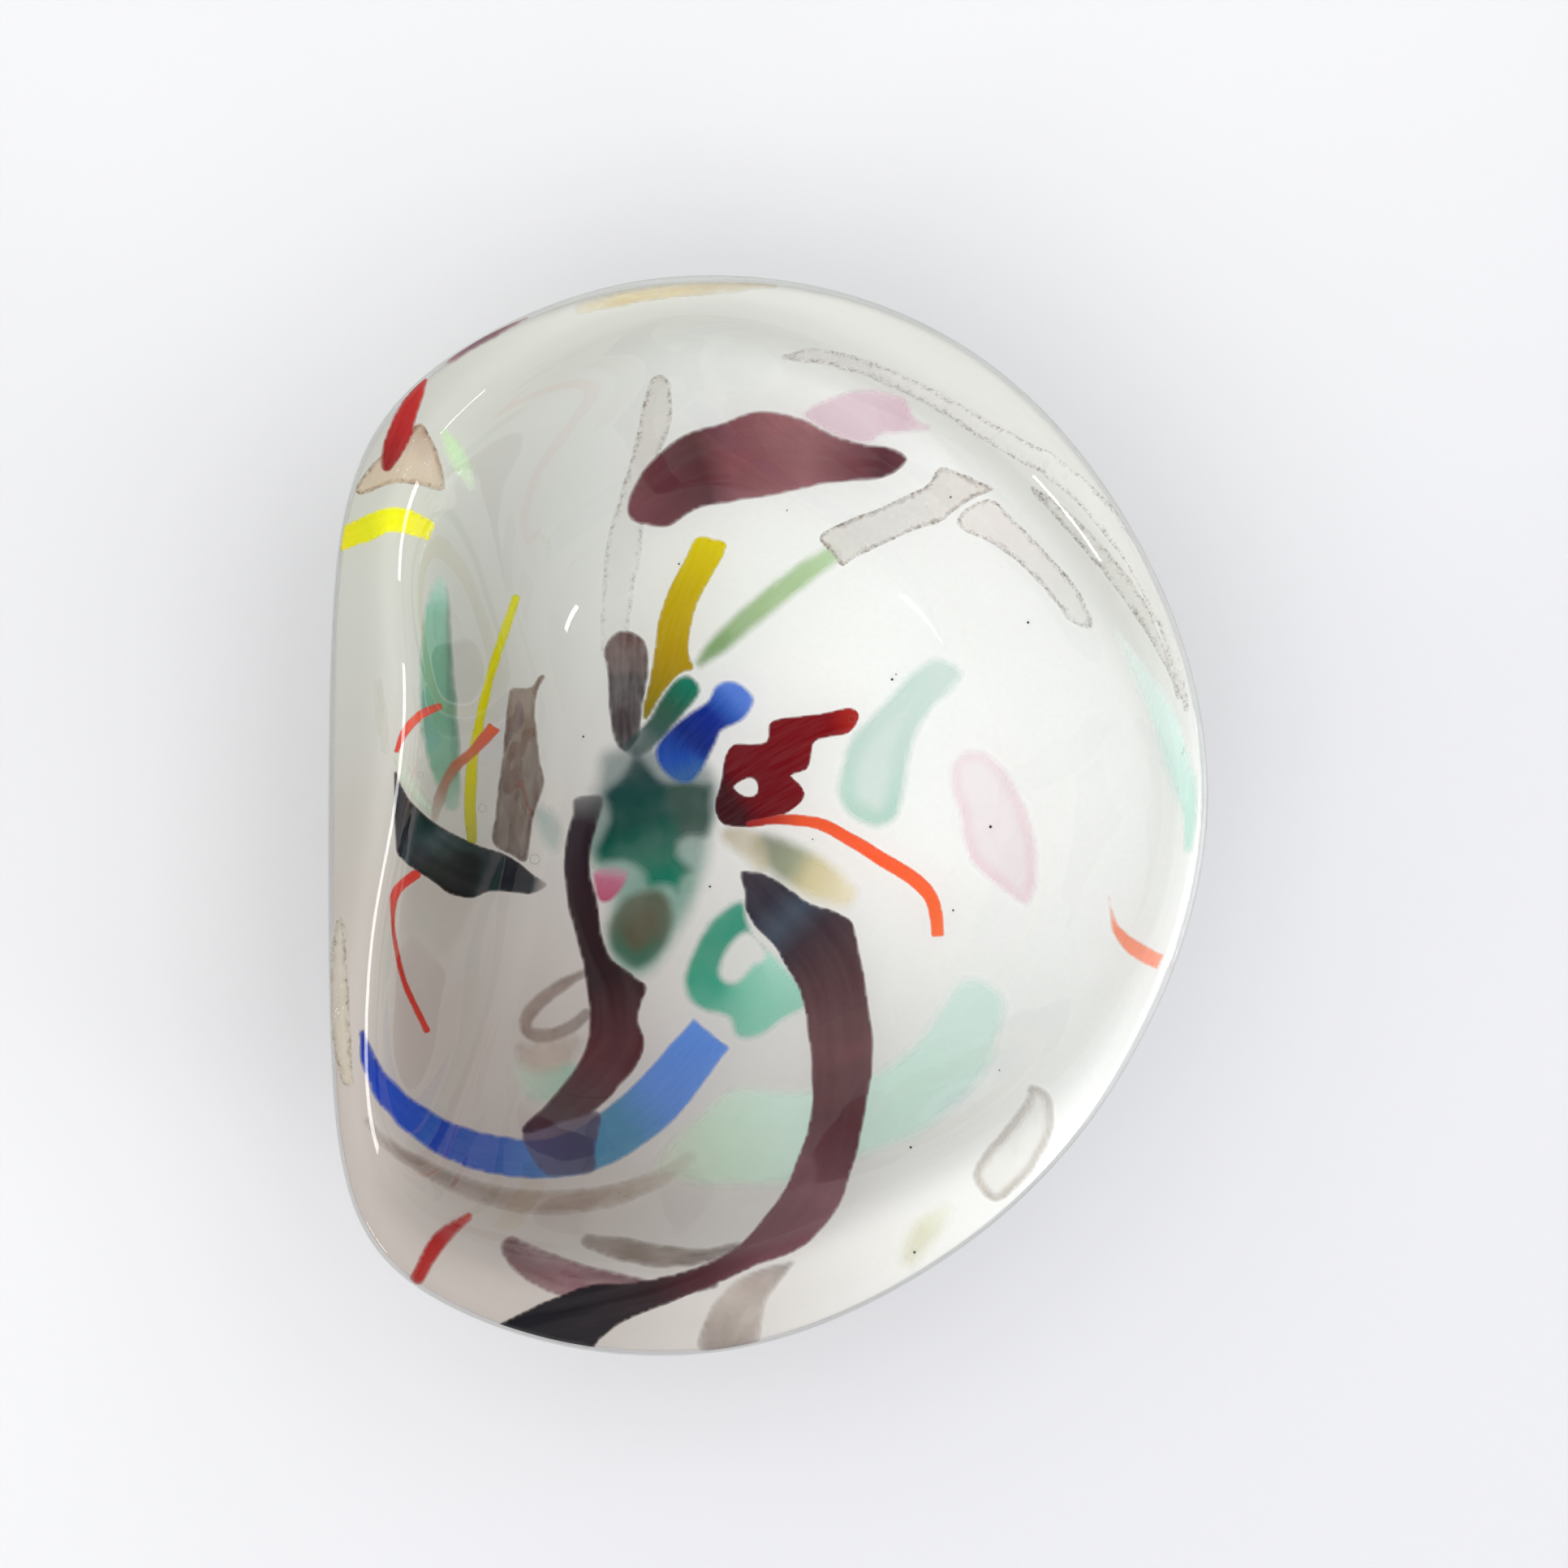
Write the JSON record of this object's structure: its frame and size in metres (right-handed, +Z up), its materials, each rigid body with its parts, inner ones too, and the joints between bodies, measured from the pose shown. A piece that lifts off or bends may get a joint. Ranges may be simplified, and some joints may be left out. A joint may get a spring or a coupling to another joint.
{
  "type": "art glass bowl",
  "caption": "Free-form art glass bowl: white opal glass cased in clear, with coloured canes, shards, ribbons and aventurine laid in, and one side pushed inwards",
  "frame": {"origin": "middle of the ground flat under the base, on the surface that the bowl stands on", "axes": "+Z up out of the bowl's mouth, +X away from the pushed-in side, +Y along the bowl's long way"},
  "size_m": [0.1718, 0.2108, 0.0699],
  "materials": {
    "clear_glass": "polished clear cased glass",
    "opal_white": "satin white opal glass under clear glass",
    "straw_glass": "pale straw glass",
    "red_glass": "deep red glass",
    "orange_glass": "orange-red glass",
    "rust_glass": "rusty red-brown glass",
    "yellow_glass": "vivid yellow glass",
    "green_glass": "pale green glass",
    "teal_glass": "teal green glass",
    "mint_glass": "milky mint glass",
    "blue_glass": "blue glass, streaked lighter and darker",
    "purple_glass": "very dark purple glass",
    "amethyst_glass": "amethyst glass",
    "mauve_glass": "brown mauve glass",
    "magenta_glass": "magenta glass",
    "pink_glass": "milky pink glass",
    "taupe_glass": "grey-brown glass with a fine sparkle",
    "olive_glass": "olive brown glass",
    "black_glass": "blue-black glass",
    "aventurine_glass": "silvery aventurine glass full of fine metallic flecks"
  },
  "bodies": {
    "root": {"clear_lining": "clear_glass", "opal_glass": "opal_white", "clear_casing": "clear_glass", "straw_strip": "straw_glass", "plum_strip": "purple_glass", "red_shard": "red_glass", "aventurine_star": "aventurine_glass", "pale_green_dab": "green_glass", "lip_yellow_strip": "yellow_glass", "teal_blade": "teal_glass", "orange_hook": "orange_glass", "rust_cane": "rust_glass", "thin_yellow_cane": "yellow_glass", "green_arc": "green_glass", "taupe_blade": "taupe_glass", "black_shard": "black_glass", "thin_red_cane": "red_glass", "purple_lobe": "purple_glass", "purple_ribbon": "purple_glass", "blue_ribbon": "blue_glass", "long_taupe_strip": "taupe_glass", "red_strip": "red_glass", "mauve_piece": "mauve_glass", "lip_taupe_strip": "taupe_glass", "amethyst_ribbon": "amethyst_glass", "taupe_patch": "taupe_glass", "aventurine_loop": "aventurine_glass", "salmon_hook": "orange_glass", "mint_rim_strip": "mint_glass", "long_aventurine": "aventurine_glass", "short_aventurine": "aventurine_glass", "plum_blade": "amethyst_glass", "taupe_strip": "taupe_glass", "aventurine_elbow": "aventurine_glass", "aventurine_wing": "aventurine_glass", "light_green_cane": "green_glass", "yellow_strip": "yellow_glass", "teal_capsule": "teal_glass", "mauve_capsule": "mauve_glass", "blue_piece": "blue_glass", "crimson_ring": "red_glass", "orange_cane": "orange_glass", "olive_disc": "olive_glass", "magenta_shard": "magenta_glass", "lip_aventurine": "aventurine_glass", "olive_smudge": "olive_glass", "pink_shard": "pink_glass", "mint_piece": "mint_glass", "pink_oval": "pink_glass", "teal_mass": "teal_glass", "teal_horseshoe": "teal_glass", "mint_ribbon": "mint_glass", "lime_smudge": "green_glass", "brown_loop": "olive_glass", "mint_fleck": "mint_glass", "pale_taupe_fleck": "taupe_glass"}
  },
  "joints": []
}
